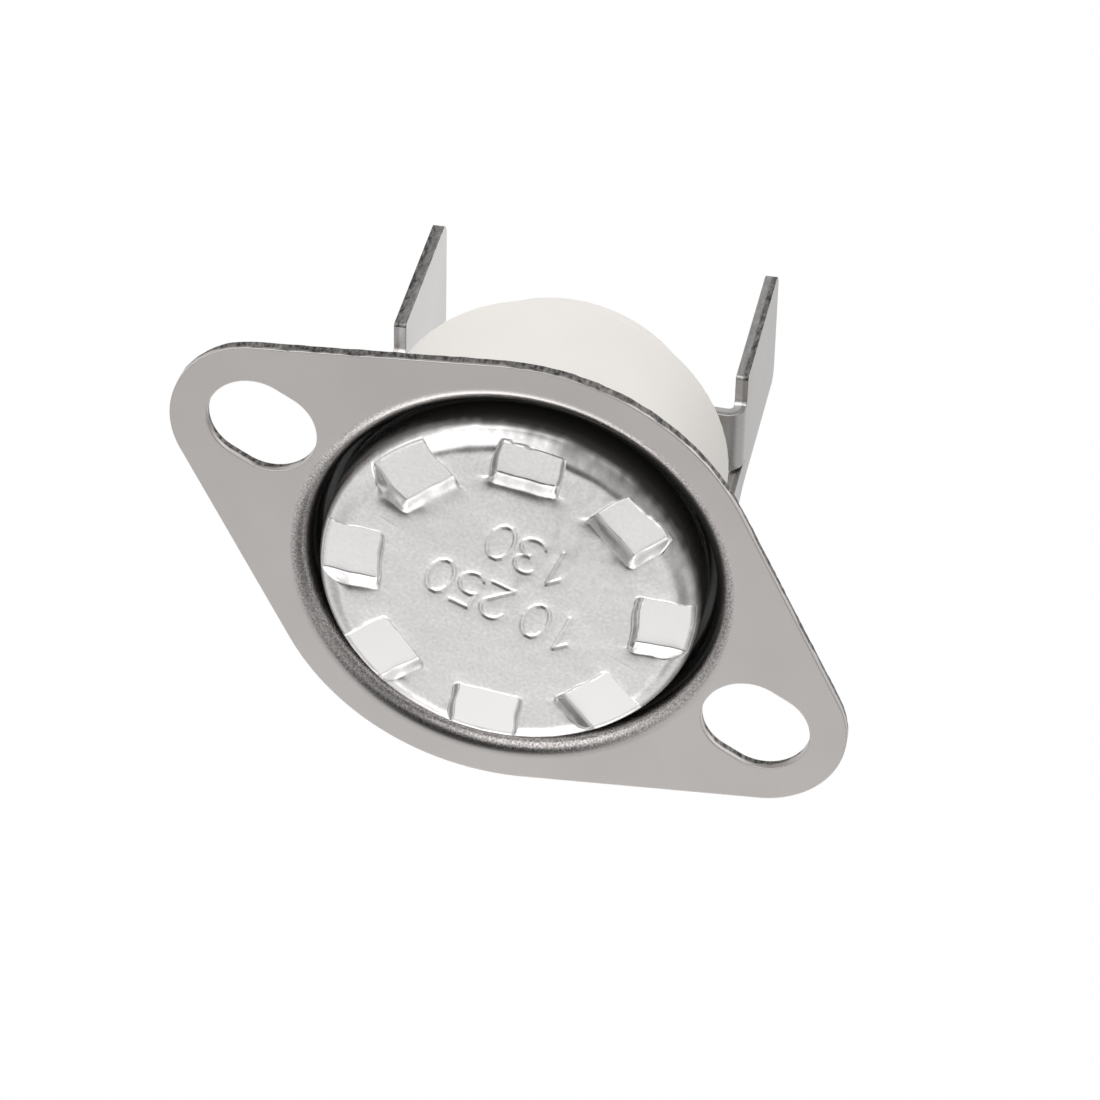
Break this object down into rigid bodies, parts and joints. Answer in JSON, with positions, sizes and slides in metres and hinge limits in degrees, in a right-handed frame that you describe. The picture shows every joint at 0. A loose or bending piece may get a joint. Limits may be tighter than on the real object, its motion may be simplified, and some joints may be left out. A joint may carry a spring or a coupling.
{
  "type": "snap disc thermostat",
  "caption": "Ceramic snap disc temperature switch with a metal sensing cap, a loose slotted bracket and upright blade terminals.",
  "frame": {"origin": "centre of the sensing face, on which the switch rests", "axes": "+X along the bracket through its slots, +Z from the sensing face to the terminals"},
  "size_m": [0.0318, 0.0208, 0.022],
  "materials": {
    "bracket_steel": "plated sheet, satin",
    "cap_aluminium": "drawn and stamped, semi-bright",
    "ceramic": "unglazed, smooth",
    "terminal_steel": "nickel plated",
    "rivet_brass": "nickel plated brass",
    "bimetal": "rolled, bare",
    "spring_copper": "rolled copper alloy spring strip",
    "plate_brass": "rolled brass strip",
    "contact_silver": "silver alloy"
  },
  "bodies": {
    "switch_body": {"sensing_cap": "cap_aluminium", "bimetal_disc": "bimetal", "guide_plate": "ceramic", "ceramic_body": "ceramic", "terminal_arm_side": "terminal_steel", "terminal_plate_side": "terminal_steel", "rivet_arm_side": "rivet_brass", "rivet_plate_side": "rivet_brass", "arm_washer": "rivet_brass", "fixed_plate": "plate_brass", "fixed_contact": "contact_silver"},
    "bracket": {"mounting_bracket": "bracket_steel"},
    "pin": {"push_pin": "ceramic"},
    "arm": {"contact_arm": "spring_copper", "moving_contact": "contact_silver"}
  },
  "joints": [
    {"name": "bracket_turn", "type": "hinge", "parent": "switch_body", "child": "bracket", "pos_m": [0, 0, 0.00105], "axis": [0, 0, 1], "continuous": true},
    {"name": "pin_push", "type": "slide", "parent": "switch_body", "child": "pin", "axis": [0, 0, 1], "range_m": [0, 0.00031], "deforming": ["bimetal_disc"]},
    {"name": "arm_flex", "type": "hinge", "parent": "switch_body", "child": "arm", "pos_m": [-0.00303, 0.00175, 0.00975], "axis": [-0.5, -0.866, 0], "range_deg": [0, 6.2], "stiffness_Nm_per_rad": 0.004, "springref_deg": -5.73}
  ],
  "couplings": [
    {"joint": "arm_flex", "follows": "pin_push", "rad_per_m": 344.83}
  ]
}
